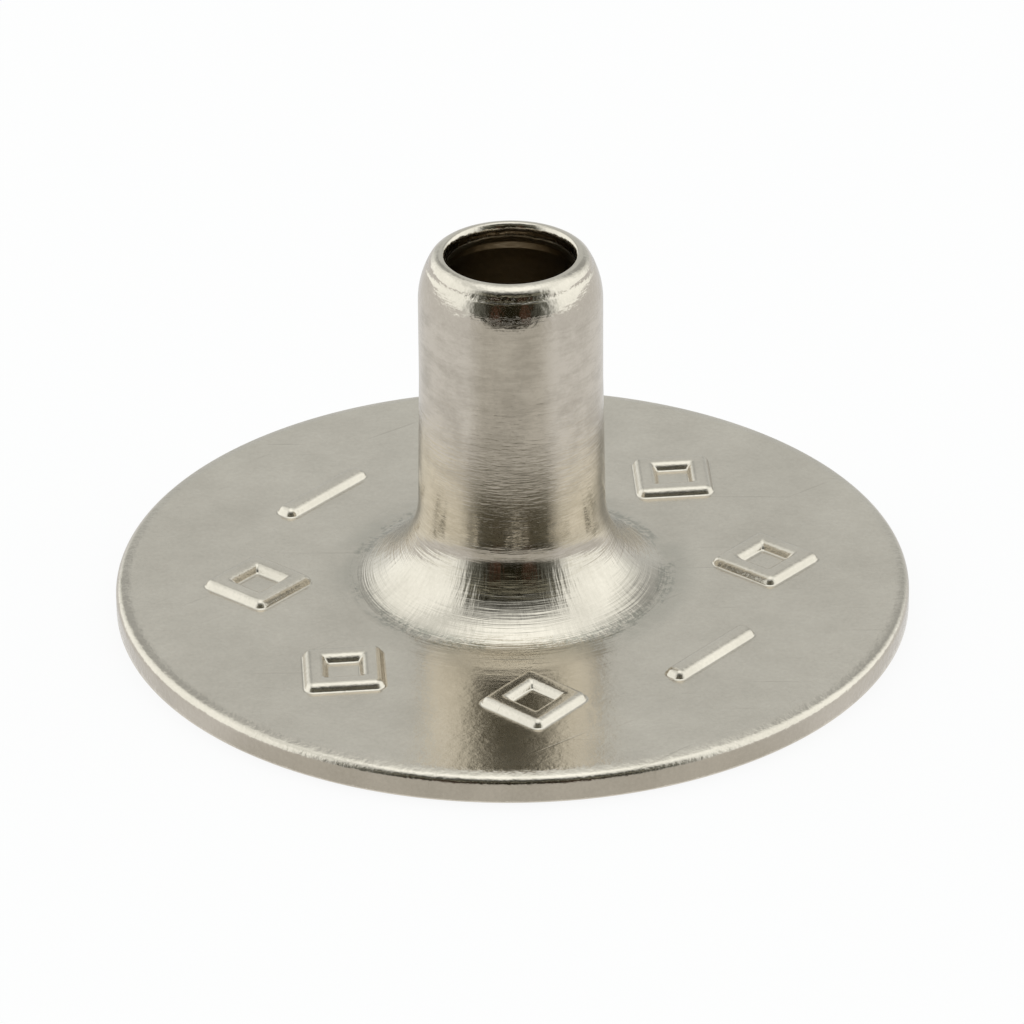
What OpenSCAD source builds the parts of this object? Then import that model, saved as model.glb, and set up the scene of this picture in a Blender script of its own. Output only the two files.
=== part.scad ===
// Flanged post of a snap fastener. A disc of sheet metal is drawn up in the middle into a hollow
// barrel, which goes up through the cloth and is then set over the half that it holds.
// The disc lies on z = 0 with its raised marks on top, and the barrel stands along +Z, open right
// through. Its foot flares out into the disc, and its top is turned in round a narrower mouth.

/* [Flange] */
// Diameter of the flange
flange_d = 15.9; // [15:0.1:20]
// Thickness of the sheet
sheet_t = 0.58; // [0.4:0.01:0.7]
// Radius of the gentle roll-off at the edge of the upper face
roll_r = 1; // [0.5:0.05:1.5]
// Slope at which the roll-off meets the tighter edge rounding, in degrees
roll_slope = 15; // [10:1:35]
// Radius of the tighter rounding that runs down to the rim
edge_r = 0.17; // [0.06:0.01:0.2]
// Radius that breaks the lower edge of the rim
lower_edge_r = 0.05; // [0.02:0.01:0.1]

/* [Barrel] */
// Height of the whole post
height = 7.76; // [6:0.01:14]
// Outer diameter of the straight length below the shoulder
barrel_d = 3.64; // [3.2:0.02:4.4]
// Length of that straight length
straight_l = 1.7; // [0.5:0.1:3]
// Wall of the straight length
wall_t = 0.45; // [0.42:0.01:0.7]
// Growth of the outer radius from the straight length down to the flare
root_swell = 0.05; // [0:0.01:0.2]

/* [Flare] */
// Radius of the upper sweep of the flare, on the outside
sweep_r = 1.9; // [1:0.1:2.6]
// Radius of the foot of the flare, on the outside
foot_r = 0.4; // [0.1:0.05:0.9]
// Slope at which the sweep meets the foot, in degrees
foot_slope = 28; // [15:1:60]

/* [Mouth] */
// Radius of the shoulder that turns the barrel in
shoulder_r = 1.75; // [0.8:0.05:2]
// Radius of the lip round the mouth
lip_r = 0.27; // [0.15:0.01:0.3]
// Slope at which the shoulder meets the lip, in degrees
lip_slope = 60; // [55:1:75]
// How far the mouth is turned in from the bore
mouth_turn = 0.1; // [0.06:0.01:0.2]
// Depth of the turned-in mouth
mouth_l = 0.4; // [0.3:0.05:1]
// Height over which the turned-in mouth opens into the bore
mouth_taper_l = 0.17; // [0.05:0.01:0.4]

/* [Marks] */
// Number of marks round the flange, every fourth of them a plain bar
mark_count = 8; // [4:4:12]
// Direction of the first mark, in degrees from +X
mark_start = 4.5; // [0:0.5:45]
// Distance of the middle of the marks from the rim
mark_inset = 2.85; // [2.4:0.05:2.95]
// Length of a lozenge, along the radius
lozenge_l = 2.4; // [2:0.05:2.6]
// Width of a lozenge, across the radius
lozenge_w = 2.3; // [2:0.05:2.8]
// Length of a bar, across the radius
bar_l = 2.5; // [1:0.05:3]
// Width of the raised line that draws the marks, at its foot
line_w = 0.55; // [0.4:0.01:0.6]
// Height of the raised line above the flange
relief = 0.15; // [0.05:0.01:0.2]
// How much the sides of the raised line lean in for each unit of height
line_lean = 0.9; // [0:0.1:1.2]

/* [Hidden] */
$fn = 96;
flange_r = flange_d / 2;
barrel_r = barrel_d / 2;
root_r = barrel_r + root_swell;
bore_r = barrel_r - wall_t;
mouth_r = bore_r - mouth_turn;
root_wall = root_r - bore_r;
flare_top = sheet_t + drop(foot_r, sweep_r, foot_slope);
shoulder_z = height - drop(lip_r, shoulder_r, lip_slope);
straight_z = shoulder_z - straight_l;
mouth_z = height - mouth_l;
// Straight steps that draw each arc of the section
arc_steps = 12;
// Depth to which the raised lines are rooted in the sheet
mark_root = 0.1;
// How far the block that hollows a lozenge runs past it above and below
lap = 0.05;

// Points of an arc, with angles of its normal from +Z towards +X. A negative radius gives the far
// side of the circle, for a hollow.
function arc(centre, r, from, to) =
    [for (i = [0 : arc_steps])
        let (a = from + (to - from) * i / arc_steps) centre + r * [sin(a), cos(a)]];

// A square corner is rounded by two arcs that meet at a slope: one leaves the level face, and the
// other runs out on the upright face. These are how far from the corner the first starts, and how
// far below it the second ends.
function reach(level_r, upright_r, slope) = level_r * sin(slope) + upright_r * (1 - sin(slope));
function drop(level_r, upright_r, slope) = level_r * (1 - cos(slope)) + upright_r * cos(slope);

// Points of such a rounded corner, from the level face to the upright one. With negative radii it
// is the fillet of an inside corner.
function corner(at, level_r, upright_r, slope) =
    concat(
      arc(at - [reach(level_r, upright_r, slope), level_r], level_r, 0, slope),
      arc(at - [upright_r, drop(level_r, upright_r, slope)], upright_r, slope, 90)
    );

function reverse(points) = [for (i = [len(points) - 1 : -1 : 0]) points[i]];

// Outside of the post, from the lip down the barrel and out along the flange to its rim
outside =
    concat(
      corner([barrel_r, height], lip_r, shoulder_r, lip_slope),
      [[barrel_r, straight_z]],
      reverse(corner([root_r, sheet_t], -foot_r, -sweep_r, foot_slope)),
      corner([flange_r, sheet_t], roll_r, edge_r, roll_slope),
      arc([flange_r - lower_edge_r, lower_edge_r], lower_edge_r, 90, 180)
    );

// Inside, from the trumpet that the flare leaves in the underside up the bore to the narrower mouth
inside =
    concat(
      corner([bore_r, 0], -foot_r - sheet_t, -sweep_r - root_wall, foot_slope),
      [[bore_r, mouth_z - mouth_taper_l], [mouth_r, mouth_z], [mouth_r, height]]
    );

// Block on a lozenge whose sides stand inset inside the outline at the sheet's upper face and lean
// in as they rise. It runs past the raised line by extra at both ends.
module lozenge_block(inset, lean, extra) {
  apothem = lozenge_l * lozenge_w / norm([lozenge_l, lozenge_w]) / 2;
  foot = 1 - (inset - (mark_root + extra) * lean) / apothem;
  top = 1 - (inset + (relief + extra) * lean) / apothem;
  translate([0, 0, -mark_root - extra])
    linear_extrude(
      mark_root + relief + 2 * extra,
      scale = top / foot,
      slices = 1,
      segments = 1
    )
      scale(foot / 2)
        polygon([[lozenge_l, 0], [0, lozenge_w], [-lozenge_l, 0], [0, -lozenge_w]]);
}

// Lozenge drawn by a raised line with leaning sides
module lozenge() {
  difference() {
    lozenge_block(0, line_lean, 0);
    lozenge_block(line_w, -line_lean, lap);
  }
}

// Plain raised bar across the radius, with leaning sides and ends
module bar() {
  foot = [line_w, bar_l] + 2 * mark_root * line_lean * [1, 1];
  top = [line_w, bar_l] - 2 * relief * line_lean * [1, 1];
  translate([0, 0, -mark_root])
    linear_extrude(
      mark_root + relief,
      scale = [top.x / foot.x, top.y / foot.y],
      slices = 1,
      segments = 1
    )
      square(foot, center = true);
}

// Ring of marks on the upper face of the flange
module marks() {
  for (i = [0 : mark_count - 1])
    rotate(mark_start + i * 360 / mark_count)
      translate([flange_r - mark_inset, 0, sheet_t])
        if (i % 4 == 3) bar(); else lozenge();
}

// The whole post, one piece of plated sheet metal
module post() {
  color([0.72, 0.7, 0.66]) {
    rotate_extrude() polygon(concat(outside, inside));
    marks();
  }
}

post();
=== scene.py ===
import cmath
import math

import bpy
from mathutils import Euler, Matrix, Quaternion


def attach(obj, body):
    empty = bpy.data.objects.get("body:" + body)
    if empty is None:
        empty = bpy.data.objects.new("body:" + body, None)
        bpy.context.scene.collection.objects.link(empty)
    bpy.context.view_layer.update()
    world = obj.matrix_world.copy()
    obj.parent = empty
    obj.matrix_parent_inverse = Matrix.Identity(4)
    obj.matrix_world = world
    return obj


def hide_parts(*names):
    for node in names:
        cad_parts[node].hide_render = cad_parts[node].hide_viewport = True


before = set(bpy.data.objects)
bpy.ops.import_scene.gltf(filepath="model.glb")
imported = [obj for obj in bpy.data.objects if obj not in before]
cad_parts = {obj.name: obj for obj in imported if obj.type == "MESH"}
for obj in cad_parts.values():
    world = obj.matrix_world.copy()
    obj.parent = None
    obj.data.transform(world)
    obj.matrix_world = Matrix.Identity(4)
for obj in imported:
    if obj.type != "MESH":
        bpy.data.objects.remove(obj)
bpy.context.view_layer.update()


# ---------------------------------------------------------------- struck marks
# The marks on the flange are thin raised lines, struck up from the brass sheet in the same blow
# that forms the post. Six are plain lozenges and two are bars. Each has a rounded crest, and its
# sides run out into the sheet in a small fillet.
# Sizes are in millimetres, and MM turns them into metres.
MM = 0.001
sheet_t = 0.58
lozenge_l, lozenge_w = 2.4, 2.3
bar_l = 2.5
line_w = 0.55
relief = 0.15
crest_r = 0.167
fillet_r = 0.06
side_slope = math.radians(60)
# The foot of a line goes this deep into the sheet, and stands out this far past the line there.
# It meets the fillet between a point just below the sheet's face and one just above it.
root_depth, root_out = 0.05, 0.02
just_below, just_above = -0.003, 0.0005


def line_side(fillet_steps=4, crest_steps=6):
    """Inset and height of the points that climb one side of a raised line, foot first."""
    fillet = [side_slope * i / fillet_steps for i in range(1, fillet_steps + 1)]
    crest = [side_slope * i / crest_steps for i in range(crest_steps, -1, -1)]
    run = (relief - (crest_r + fillet_r) * (1 - math.cos(side_slope))) / math.tan(side_slope)
    top = (crest_r + fillet_r) * math.sin(side_slope) + run
    side = [(-root_out, -root_depth), (-root_out, just_below), (0, just_above)]
    side += [(fillet_r * math.sin(a), fillet_r * (1 - math.cos(a))) for a in fillet]
    side += [(top - crest_r * math.sin(a), relief - crest_r * (1 - math.cos(a))) for a in crest]
    return side


def outline(corners, inset, radius, beside, steps=8):
    """A convex outline moved in by inset, its corners rounded, with a point beside each bend."""
    points = []
    ways = [(b - a) / abs(b - a) for a, b in zip(corners, corners[1:] + corners[:1])]
    for k, corner in enumerate(corners):
        arrive, leave = ways[k - 1], ways[k]
        turn = cmath.phase(leave / arrive)
        middle = corner + (arrive * 1j + leave * 1j) / (1 + math.cos(turn)) * (inset + radius)
        start = middle - arrive * 1j * radius
        points.append(start - arrive * beside)
        points += [middle - arrive * 1j * radius * cmath.exp(1j * turn * i / steps)
                   for i in range(steps + 1)]
        points.append(middle - leave * 1j * radius + leave * beside)
    return points


def stood(name, points, faces, edges=()):
    """Object with a mesh of these points, edges and faces."""
    mesh = bpy.data.meshes.new(name)
    mesh.from_pydata(points, edges, faces)
    piece = bpy.data.objects.new(name, mesh)
    bpy.context.scene.collection.objects.link(piece)
    return piece


def struck(name, corners, hollow, least_r, beside, corner_r=0.22):
    """Raised line: round the outline where it is hollow, else filled to its middle."""
    side = line_side()
    across = side + [(line_w - q, h) for q, h in reversed(side)] if hollow else side
    rings = [[(p.real, p.imag, sheet_t + h) for p in
              outline(corners, q, max(corner_r - q, least_r), beside)] for q, h in across]
    count = len(rings[0])
    faces = [(i * count + j, i * count + (j + 1) % count,
              (i + 1) % len(rings) * count + (j + 1) % count, (i + 1) % len(rings) * count + j)
             for i in range(len(rings) if hollow else len(rings) - 1) for j in range(count)]
    if not hollow:
        # Strips across close the crest and the underside
        last = (len(rings) - 1) * count
        for j in range(count // 2 - 1):
            strip = (j, j + 1, count - 2 - j, count - 1 - j)
            faces.append([last + k for k in strip])
            faces.append(strip[::-1])
    return stood(name, [[MM * v for v in p] for ring in rings for p in ring], faces)


lozenge_ends = lozenge_l / 2 + 0j, lozenge_w / 2 * 1j
lozenge = struck("lozenge", [*lozenge_ends, *(-end for end in lozenge_ends)], True,
                 least_r=0.05, beside=0.03)
bar_ends = (line_w - bar_l * 1j) / 2, (line_w + bar_l * 1j) / 2
bar = struck("bar", [*bar_ends, *(-end for end in bar_ends)], False, least_r=0.03, beside=0.01)


# ---------------------------------------------------------------- post
# The post is one disc of brass sheet, drawn up in the middle into a hollow barrel with a
# turned-in mouth. It has the same section all round, so its section is turned about the axis and
# the marks are set on it in a ring.
flange_r = 7.95
height = 7.76
barrel_r = 1.82
root_r = 1.87
bore_r = 1.37
mouth_r = 1.27
# Heights of the foot of the turned-in mouth, of its taper, and of the barrel's straight length
mouth_z, taper_z, straight_z = 7.36, 7.19, 5.05
lip_r, shoulder_r, lip_slope = 0.27, 1.75, 60
foot_r, sweep_r, foot_slope = 0.55, 1.9, 25
roll_r, edge_r, roll_slope = 1.0, 0.17, 15
lower_edge_r = 0.05
trumpet_foot_r, trumpet_sweep_r, trumpet_slope = 0.98, 2.4, 28
# Height of the rounding inside the lip
lip_down = 0.20
turning_steps = 384
mark_count = 8
mark_ring_r = 5.1
mark_start = math.radians(4.5)


def arc(middle, radius, start, end, steps):
    """Points of an arc of the section, its angles in degrees from straight up towards the rim."""
    turns = [math.radians(start + (end - start) * i / steps) for i in range(steps + 1)]
    return [(middle[0] + radius * math.sin(a), middle[1] + radius * math.cos(a)) for a in turns]


def rounding(corner, level_r, upright_r, slope, steps):
    """Two arcs that round a square corner of the section and meet at a slope."""
    s = math.radians(slope)
    reach = level_r * math.sin(s) + upright_r * (1 - math.sin(s))
    drop = level_r * (1 - math.cos(s)) + upright_r * math.cos(s)
    level = arc((corner[0] - reach, corner[1] - level_r), level_r, 0, slope, steps[0])
    upright = arc((corner[0] - upright_r, corner[1] - drop), upright_r, slope, 90, steps[1])
    return level + upright[1:]


def straight(start, end, steps=4, margin=0.02):
    """Points along a straight part of the section, with one close to each end."""
    close = margin / math.dist(start, end)
    shares = [close, *(i / steps for i in range(1, steps)), 1 - close]
    return [(start[0] + (end[0] - start[0]) * s, start[1] + (end[1] - start[1]) * s)
            for s in shares]


# Negative radii make the fillet of an inside corner
lip = rounding((barrel_r, height), lip_r, shoulder_r, lip_slope, (14, 14))
flare = rounding((root_r, sheet_t), -foot_r, -sweep_r, foot_slope, (12, 26))[::-1]
rim = rounding((flange_r, sheet_t), roll_r, edge_r, roll_slope, (8, 14))
under_edge = arc((flange_r - lower_edge_r, lower_edge_r), lower_edge_r, 90, 180, 6)
trumpet = rounding((bore_r, 0), -trumpet_foot_r, -trumpet_sweep_r, trumpet_slope, (8, 20))
lip_in = lip[0][0] - mouth_r
mouth = [(mouth_r + lip_in * (1 + x), height - lip_down * (1 - z))
         for x, z in arc((0, 0), 1, -90, 0, 16)[:-1]]
section = lip + straight(lip[-1], (barrel_r, straight_z)) + [(barrel_r, straight_z)]
section += straight((barrel_r, straight_z), flare[0]) + flare + straight(flare[-1], rim[0], 8)
section += rim + under_edge + straight(under_edge[-1], trumpet[0], 8) + trumpet
section += straight(trumpet[-1], (bore_r, taper_z)) + [(bore_r, taper_z)]
section += [(mouth_r, mouth_z)] + straight((mouth_r, mouth_z), mouth[0]) + mouth

# A circle of the bore's radius carries the section round, so its points are measured from there
post = stood("plated_post", [((x - bore_r) * MM, -z * MM, 0) for x, z in section], [],
             [(i, (i + 1) % len(section)) for i in range(len(section))])


class Amount:
    """A quantity carried by a node's socket, which can be added, multiplied and so on."""

    def __init__(self, bench, socket):
        self.bench, self.socket = bench, socket

    def reckon(self, operation, *others):
        return self.bench.node("ShaderNodeMath", {"operation": operation},
                               dict(enumerate((self, *others))))

    def beside(self, output):
        return Amount(self.bench, self.socket.node.outputs[output])

    def __add__(self, other):
        return self.reckon("ADD", other)

    __radd__ = __add__

    def __mul__(self, other):
        return self.reckon("MULTIPLY", other)

    __rmul__ = __mul__

    def __sub__(self, other):
        return self.reckon("SUBTRACT", other)

    def __rsub__(self, other):
        return self * -1 + other

    def __truediv__(self, other):
        return self.reckon("DIVIDE", other)

    def __pow__(self, other):
        return self.reckon("POWER", other)


class Bench:
    """Lays nodes in a tree: a node's settings first, then the values or links of its sockets."""

    def __init__(self, tree):
        self.tree = tree

    def node(self, kind, settings=None, sockets=None, output=0):
        made = self.tree.nodes.new(kind)
        for name, value in (settings or {}).items():
            if name == "stops":
                self.fill(made.color_ramp, value)
            else:
                setattr(made, name, value)
        for name, value in (sockets or {}).items():
            for source in value if isinstance(value, list) else [value]:
                if isinstance(source, Amount):
                    self.tree.links.new(source.socket, made.inputs[name])
                else:
                    made.inputs[name].default_value = source
        return Amount(self, made.outputs[output]) if made.outputs else made

    @staticmethod
    def fill(ramp, stops):
        while len(ramp.elements) < len(stops):
            ramp.elements.new(1)
        for stop, (place, shade) in zip(ramp.elements, stops):
            stop.position = place
            stop.color = (*shade, 1) if isinstance(shade, tuple) else (shade, shade, shade, 1)


turned = bpy.data.node_groups.new("turned_post", "GeometryNodeTree")
inputs = {}
for name, kind in (("Section", "Geometry"), ("Bore Radius", "Float"), ("Turns", "Int"),
                   ("Lozenge", "Object"), ("Bar", "Object"), ("Marks", "Int"),
                   ("Mark Ring Radius", "Float"), ("First Mark", "Float"),
                   ("Finish", "Material")):
    inputs[name] = turned.interface.new_socket(name, in_out="INPUT",
                                               socket_type="NodeSocket" + kind)
turned.interface.new_socket("Post", in_out="OUTPUT", socket_type="NodeSocketGeometry")

lathe = Bench(turned)
given = lathe.node("NodeGroupInput")
profile = lathe.node("GeometryNodeMeshToCurve", sockets={"Mesh": given.beside("Section")})
circle = lathe.node("GeometryNodeCurvePrimitiveCircle", {"mode": "RADIUS"},
                    {"Resolution": given.beside("Turns"), "Radius": given.beside("Bore Radius")})
shell = lathe.node("GeometryNodeCurveToMesh", sockets={"Curve": circle, "Profile Curve": profile})
index = lathe.node("GeometryNodeInputIndex")
angle = given.beside("First Mark") + index * math.tau / given.beside("Marks")
ring_r = given.beside("Mark Ring Radius")
spot = lathe.node("ShaderNodeCombineXYZ", sockets={"X": angle.reckon("COSINE") * ring_r,
                                                   "Y": angle.reckon("SINE") * ring_r})
places = lathe.node("GeometryNodePoints", sockets={"Count": given.beside("Marks"),
                                                   "Position": spot})
facing = lathe.node("ShaderNodeCombineXYZ", sockets={"Z": angle})
takes_bar = index.reckon("MODULO", 4).reckon("COMPARE", 3, 0.1)
marks = []
for name, chosen in (("Lozenge", 1 - takes_bar), ("Bar", takes_bar)):
    pattern = lathe.node("GeometryNodeObjectInfo", sockets={"Object": given.beside(name)},
                         output="Geometry")
    marks.append(lathe.node("GeometryNodeInstanceOnPoints", sockets={
        "Points": places, "Selection": chosen, "Instance": pattern, "Rotation": facing}))
joined = lathe.node("GeometryNodeJoinGeometry", sockets={"Geometry": [shell, *marks]})
solid = lathe.node("GeometryNodeRealizeInstances", sockets={"Geometry": joined})
smooth = lathe.node("GeometryNodeSetShadeSmooth", sockets={"Geometry": solid})
plated = lathe.node("GeometryNodeSetMaterial", sockets={"Geometry": smooth,
                                                        "Material": given.beside("Finish")})
lathe.node("NodeGroupOutput", sockets={"Post": plated})


def cleared(owner):
    """Bench on the emptied node tree of a material or world."""
    owner.use_nodes = True
    owner.node_tree.nodes.clear()
    return Bench(owner.node_tree)


# The finish is satin nickel over brass. Drawing leaves fine rings all round, the flare keeps
# short streaks down its slope, the flange has a fine matt grain with a few scratches, and the
# plating is thin and brown inside the bore. A patchy ring of painted shade, in the grey of the
# wear, lies on the flange round the foot of the flare.
nickel = bpy.data.materials.new("satin_nickel")
bath = cleared(nickel)
at = bath.node("ShaderNodeTexCoord", output="Object")
at_mm = bath.node("ShaderNodeVectorMath", {"operation": "SCALE"}, {0: at, "Scale": 1000})
x = bath.node("ShaderNodeSeparateXYZ", sockets={0: at_mm})
y, z = x.beside("Y"), x.beside("Z")
radius = (x * x + y * y) ** 0.5
round_x, round_y = x / radius, y / radius
along = radius - z


def step(amount, low, high):
    """Goes smoothly from 0 where the amount is low to 1 where it is high."""
    return amount.bench.node("ShaderNodeMapRange", {"interpolation_type": "SMOOTHSTEP"},
                             {"Value": amount, "From Min": low, "From Max": high})


def covered(share, under, cover, way="MIX"):
    """A colour with a share of another laid over it."""
    return share.bench.node("ShaderNodeMix", {"data_type": "RGBA", "blend_type": way},
                            {0: share, 6: under, 7: cover}, 2)


def grain(u, v, w, detail=2, roughness=0.5):
    """Noise from 0 to 1 on three amounts, centred on a half."""
    place = bath.node("ShaderNodeCombineXYZ", sockets={"X": u, "Y": v, "Z": w})
    return bath.node("ShaderNodeTexNoise", {"noise_dimensions": "3D"}, {
        "Vector": place, "Scale": 1, "Detail": detail, "Roughness": roughness})


# Parts of the post, each 1 inside it and 0 outside, by height and radius in millimetres
on_lip = step(z, 6.75, 7.05)
on_barrel = step(z, 1.83, 2.23) * (1 - on_lip)
on_flare = step(radius, 1.88, 2.05) * (1 - step(radius, 3.0, 3.4))
on_flange = step(radius, 2.95, 3.3)
by_foot = on_flange * (1 - step(radius, 3.3, 4.8))
low_wall = step(z, 1.2, 1.7) * (1 - step(z, 2.6, 3.5)) * (1 - on_lip)
at_foot = step(radius, 2.7, 3.0) * (1 - step(radius, 3.1, 3.7))
foot_edge = step(radius, 2.80, 3.02) * (1 - step(radius, 3.20, 3.40))
on_rim = step(radius, 7.5, 7.7)
on_mark = step(z, 0.59, 0.63) * on_flange
in_bore = (1 - step(radius, 1.4, 1.5)) * (1 - step(z, 7.47, 7.59))
# Patterns of the surface, whose factors say how many grains there are to a millimetre or turn
fine_rings = grain(along * 15, round_x * 1.6, round_y * 1.6, roughness=0.6)
coarse_rings = grain(along * 4.5, round_x * 0.9, round_y * 0.9)
strokes = grain(z * 19, round_x * 5, round_y * 5, roughness=0.6)
streaks = grain(round_x * 24, round_y * 24, along * 1.2, roughness=0.6)
matt = grain(x * 13, y * 13, z * 13, roughness=0.6)
ripple = grain(x * 5.5, y * 5.5, z * 5.5)
cloud = grain(x * 0.9, y * 0.9, z * 0.9)
blotch = grain(z * 4 + 5, round_x * 3, round_y * 3, detail=3, roughness=0.6)
drawn = grain(z * 0.5 + 2, round_x * 2.6, round_y * 2.6, roughness=0.6)
pitted = foot_edge * step(grain(round_x * 2.3 + 3, round_y * 2.3, radius * 1.5), 0.34, 0.52)
turned_x, turned_y = x * 0.8 + y * 0.6, y * 0.8 - x * 0.6
scratch_a = step(grain(x * 0.35, y * 9, z * 0.4 + 7), 0.70, 0.78)
scratch_b = step(grain(turned_x * 0.3, turned_y * 10, z * 0.4 + 3), 0.70, 0.78)
scratches = (scratch_a + scratch_b) * on_flange
crease_z = z + (ripple - 0.5) * 0.06
crease = step(crease_z, 7.46, 7.52) * (1 - step(crease_z, 7.53, 7.61)) * (0.35 + matt)

# Height of the relief in micrometres
relief_um = fine_rings * (1 + on_flare * 7 + on_lip * 2)
relief_um = relief_um + strokes * on_barrel * (5 - low_wall * 0.8)
relief_um = relief_um + coarse_rings * (on_flare * 8 + by_foot * 16)
relief_um = relief_um + fine_rings * (by_foot * 4 + at_foot * 6)
relief_um = relief_um + streaks * (on_flare * 9 + by_foot * 3)
relief_um = relief_um + matt * (0.4 + on_flange * 2.2 + on_rim * 3 + on_mark * 3 + pitted * 10)
relief_um = relief_um + ripple * (2 + on_lip * 9 + on_rim * 7 + on_flange * 2)
relief_um = relief_um - scratches * 1.5 - crease * 12
micrometre = 0.000001
normal = bath.node("ShaderNodeBump", sockets={"Strength": 1, "Distance": micrometre,
                                              "Height": relief_um})

# Colour of the plating: clean, then worn grey at the foot with a ring of painted shade round the
# flare, rubbed brown low on the wall, and thin in the bore
dark_nickel, light_nickel = (0.53, 0.486, 0.415, 1), (0.67, 0.617, 0.535, 1)
wear_and_shade_grey, rubbed_brown = (0.33, 0.32, 0.27, 1), (0.36, 0.315, 0.235, 1)
bore_brown = (0.25, 0.20, 0.125, 1)
shade = cloud * 1.2 + matt * (0.7 + on_barrel * 0.3) + fine_rings * 0.10 - scratches * 0.5
shade = shade + (blotch * 2.4 + drawn * 1.8 + strokes - 2.68) * on_barrel
shade = shade + streaks * on_flare * 0.6 - on_flare * 0.5 - by_foot * 0.1 - 0.48
tone = covered(shade, dark_nickel, light_nickel)
wear_and_foot_shade = step(matt * 0.7 + ripple * 0.5 + fine_rings * 0.5, 0.72, 0.98) * pitted
# Painted shade: a patchy darker ring on the flange round the foot of the flare
foot_shade = step(radius, 2.95, 3.2) * (1 - step(radius, 3.3, 3.9))
foot_shade = foot_shade * step(cloud + blotch * 0.5, 0.6, 0.9)
wear_and_foot_shade = wear_and_foot_shade.reckon("MAXIMUM", foot_shade * 0.45)
rubbed = step(strokes * 0.75 + drawn * 0.25, 0.45, 0.58) * low_wall
# The pitted wear and the painted shade lay the same grey over the plating
tone = covered(wear_and_foot_shade * 0.8, tone, wear_and_shade_grey)
tone = covered(rubbed * 0.25, tone, rubbed_brown)
tone = covered(in_bore * 0.9, tone, bore_brown)
# Roughness of the plating
dull = 0.10 + cloud * 0.04 + matt * 0.05 + on_flange * 0.05 + on_mark * 0.05
dull = dull + on_barrel * (0.06 - low_wall * 0.07) + in_bore * 0.15
metal = bath.node("ShaderNodeBsdfPrincipled", sockets={
    "Base Color": tone, "Metallic": 1.0, "Roughness": dull, "Normal": normal})
bath.node("ShaderNodeOutputMaterial", sockets={"Surface": metal})

turning = post.modifiers.new("turning", "NODES")
turning.node_group = turned
for name, value in (("Bore Radius", bore_r * MM), ("Turns", turning_steps), ("Lozenge", lozenge),
                    ("Bar", bar), ("Marks", mark_count), ("Mark Ring Radius", mark_ring_r * MM),
                    ("First Mark", mark_start), ("Finish", nickel)):
    turning[inputs[name].identifier] = value
evaluated = post.evaluated_get(bpy.context.evaluated_depsgraph_get())
post_mesh = bpy.data.meshes.new_from_object(evaluated)
# The tree leaves an empty first slot, which no face uses
post_mesh.materials.pop(index=0)
post.modifiers.remove(turning)
post.data = post_mesh
for pattern in (lozenge, bar):
    bpy.data.objects.remove(pattern)
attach(post, "root")
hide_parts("post")


# ---------------------------------------------------------------- floor
# A plain pale table top that the post stands on. The camera and the metal see it as white, and it
# keeps the post's shadow. The sizes of the stage are in metres.
floor_r = 0.95
floor_steps = 128
# Gap that keeps the floor clear of the underside, and the card clear of the floor
clear = 0.00001


def circle_points(radius, z, steps):
    """Points round the axis in metres."""
    return [(radius * math.cos(math.tau * i / steps), radius * math.sin(math.tau * i / steps), z)
            for i in range(steps)]


floor = stood("floor", circle_points(floor_r, -clear, floor_steps), [list(range(floor_steps))])
table = bpy.data.materials.new("pale_table")
top = cleared(table)
ray = top.node("ShaderNodeLightPath", output="Is Camera Ray")
seen = ray.reckon("MAXIMUM", ray.beside("Is Glossy Ray")).reckon(
    "MAXIMUM", ray.beside("Is Transmission Ray"))
paint = top.node("ShaderNodeBsdfDiffuse", sockets={"Color": (0.92, 0.92, 0.92, 1)})
white = top.node("ShaderNodeEmission", sockets={"Color": (1, 1, 1, 1), "Strength": 1})
mixed = top.node("ShaderNodeMixShader", sockets={0: seen * 0.88, 1: paint, 2: white})
top.node("ShaderNodeOutputMaterial", sockets={"Surface": mixed})
floor.data.materials.append(table)


# ---------------------------------------------------------------- light
# A white tent stands round the table, as in a small product studio. Its two sides and its roof
# glow evenly, the back is greyer, and the side towards the camera is dark, with a lighter strip
# and two brownish spots.
tent_r = 1.0
tent_glow = 1.6758
tent_bands, tent_sides = 12, 48


def bands(count, sides):
    """Faces between rings of points that follow each other."""
    return [(i * sides + j, (i + 1) * sides + j, (i + 1) * sides + (j + 1) % sides,
             i * sides + (j + 1) % sides) for i in range(count) for j in range(sides)]


heights = [math.pi / 2 * i / tent_bands for i in range(tent_bands + 1)]
tent = stood("tent", [point for a in heights for point in circle_points(
    tent_r * math.cos(a), tent_r * math.sin(a), tent_sides)], bands(tent_bands, tent_sides))
cloth = bpy.data.materials.new("tent_cloth")
lamp = cleared(cloth)
spot = lamp.node("ShaderNodeVectorMath", {"operation": "NORMALIZE"},
                 {0: lamp.node("ShaderNodeTexCoord", output="Object")})
east = lamp.node("ShaderNodeSeparateXYZ", sockets={0: spot})
north, up = east.beside("Y"), east.beside("Z")
bearing = east.reckon("ARCTAN2", north) / math.tau + 0.5
rise = up.reckon("ARCSINE") / (math.pi / 2)
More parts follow.
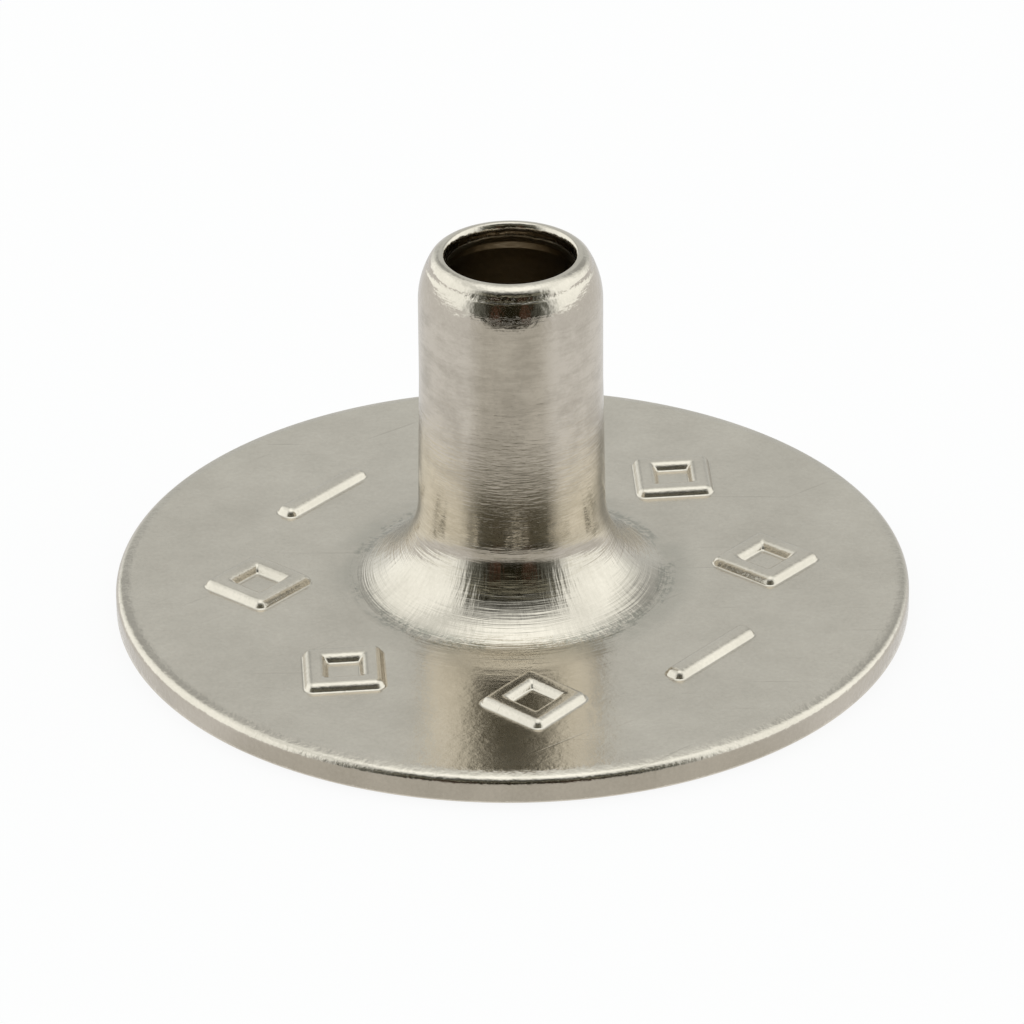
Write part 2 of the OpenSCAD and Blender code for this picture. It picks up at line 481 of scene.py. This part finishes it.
# Colours round the tent by bearing, where 0 and 1 are the camera's side and 0.5 is the back: the
# skirt is lowest, then low, with the lighter strip on it, then high, and the roof is white
dark, darker, seam = (0.011, 0.010, 0.005), (0.009, 0.008, 0.004), (0.10, 0.10, 0.09)
brown, veil, roof = (0.060, 0.030, 0.020), (0.20, 0.190, 0.155), (0.98, 0.98, 0.98, 1)
low = lamp.node("ShaderNodeValToRGB", {"stops": [
    (0.000, darker), (0.090, dark), (0.125, seam), (0.152, 0.50), (0.182, 0.82), (0.325, 0.88),
    (0.385, 0.80), (0.412, 0.60), (0.432, 0.29), (0.455, 0.29), (0.475, 0.44), (0.535, 0.44),
    (0.565, 0.30), (0.610, 0.30), (0.645, 0.62), (0.700, 0.91), (0.818, 0.84), (0.848, 0.50),
    (0.875, seam), (0.910, dark), (1.000, darker)]}, {0: bearing})
skirt = lamp.node("ShaderNodeValToRGB", {"stops": [
    (0.000, darker), (0.030, dark), (0.050, brown), (0.070, dark), (0.125, seam), (0.152, 0.50),
    (0.182, 0.82), (0.325, 0.88), (0.385, 0.88), (0.420, 0.62), (0.455, 0.42), (0.590, 0.42),
    (0.630, 0.66), (0.665, 0.90), (0.818, 0.84), (0.848, 0.50), (0.875, seam), (0.932, dark),
    (0.950, brown), (0.970, dark), (1.000, darker)]}, {0: bearing})
strip = lamp.node("ShaderNodeValToRGB", {"stops": [
    (0.000, veil), (0.100, veil), (0.160, 0.0), (0.840, 0.0), (0.900, veil), (1.000, veil)]},
    {0: bearing})
high = lamp.node("ShaderNodeValToRGB", {"stops": [
    (0.0, 0.22), (0.25, 0.55), (0.5, 0.62), (0.75, 0.78), (0.9, 0.45), (1.0, 0.22)]}, {0: bearing})
strip_share = lamp.node("ShaderNodeValToRGB", {"stops": [
    (0.28, 0.0), (0.32, 1.0), (0.35, 1.0), (0.39, 0.0)]}, {0: rise})
glow = covered(step(rise, 0.17, 0.28), skirt, low)
glow = covered(strip_share, glow, strip, "ADD")
glow = covered(step(rise, 0.44, 0.70), glow, high)
glow = covered(step(rise, 0.60, 0.90), glow, roof)
# The cloth glows a little cool
cool = lamp.node("ShaderNodeVectorMath", {"operation": "MULTIPLY"},
                 {0: glow, 1: (0.975, 1.012, 1.005)})
shine = lamp.node("ShaderNodeEmission", sockets={"Color": cool, "Strength": tent_glow})
lamp.node("ShaderNodeOutputMaterial", sockets={"Surface": shine})
cloth.cycles.emission_sampling = "NONE"
tent.data.materials.append(cloth)
tent.visible_camera = False

# A grey card lies round the post, darkest in front of it. It shows only in the metal, as painted
# shade on the table, with a faint ring of painted shadow just in front of the flange.
card_in, card_out, card_steps = 0.008, 0.3, 64
card = stood("card", [point for r in (card_in, card_out)
                      for point in circle_points(r, clear, card_steps)], bands(1, card_steps))
board = bpy.data.materials.new("painted_shade_card")
press = cleared(board)
lying = press.node("ShaderNodeTexCoord", output="Object")
aim = press.node("ShaderNodeVectorMath", {"operation": "NORMALIZE"}, {0: lying})
away = press.node("ShaderNodeVectorMath", {"operation": "LENGTH"}, {0: lying}, "Value")
ahead = press.node("ShaderNodeSeparateXYZ", sockets={0: aim}, output="Y")
# Place in the card's shades, which reach 50 mm out in front and further towards the sides
reach = away * 20 * (ahead * ahead * 2.4 - 1.4)
cover = step(ahead, -0.58, -0.86)
# Painted shade of the table: grey, a little darker in a ring close in front of the flange, and
# near black far out in front
grey = press.node("ShaderNodeEmission", sockets={"Strength": 1, "Color": press.node(
    "ShaderNodeValToRGB", {"stops": [
        (0.17, (0.61, 0.60, 0.565)), (0.20, (0.57, 0.56, 0.525)), (0.25, (0.61, 0.60, 0.565)),
        (0.60, (0.60, 0.59, 0.555)), (0.90, (0.06, 0.056, 0.042)), (1.0, (0.028, 0.025, 0.015))]},
    {0: reach})})
pale = press.node("ShaderNodeEmission", sockets={"Color": (0.78, 0.78, 0.78, 1), "Strength": 1})
faded = press.node("ShaderNodeMixShader", sockets={0: cover, 1: pale, 2: grey})
press.node("ShaderNodeOutputMaterial", sockets={"Surface": faded})
board.cycles.emission_sampling = "NONE"
card.data.materials.append(board)
card.visible_camera = False
card.visible_diffuse = False
card.visible_shadow = False

world = bpy.data.worlds.new("white_room")
bpy.context.scene.world = world
room = cleared(world)
air = room.node("ShaderNodeBackground", sockets={"Color": (1, 1, 1, 1), "Strength": 1})
room.node("ShaderNodeOutputWorld", sockets={"Surface": air})


# ---------------------------------------------------------------- camera
# A long lens looks down at 30 degrees from in front, and aims a little above the middle of the
# flange.
fall = math.radians(29.725)
# Angles by which its aim is raised and it leans to one side
raised, leaning = 0.01236, math.radians(-0.40)
distance = 0.139
lens = bpy.data.cameras.new("camera")
lens.sensor_width = 36
lens.lens = 243.1
lens.clip_start = 0.005
lens.clip_end = 3
camera = bpy.data.objects.new("camera", lens)
bpy.context.scene.collection.objects.link(camera)
camera.location = (0, -distance * math.cos(fall), distance * math.sin(fall))
camera.rotation_mode = "QUATERNION"
tilt = Euler((math.pi / 2 - fall + raised, 0, 0)).to_quaternion()
camera.rotation_quaternion = tilt @ Quaternion((0, 0, 1), leaning)
bpy.context.scene.camera = camera
bpy.context.scene.view_settings.view_transform = "Standard"
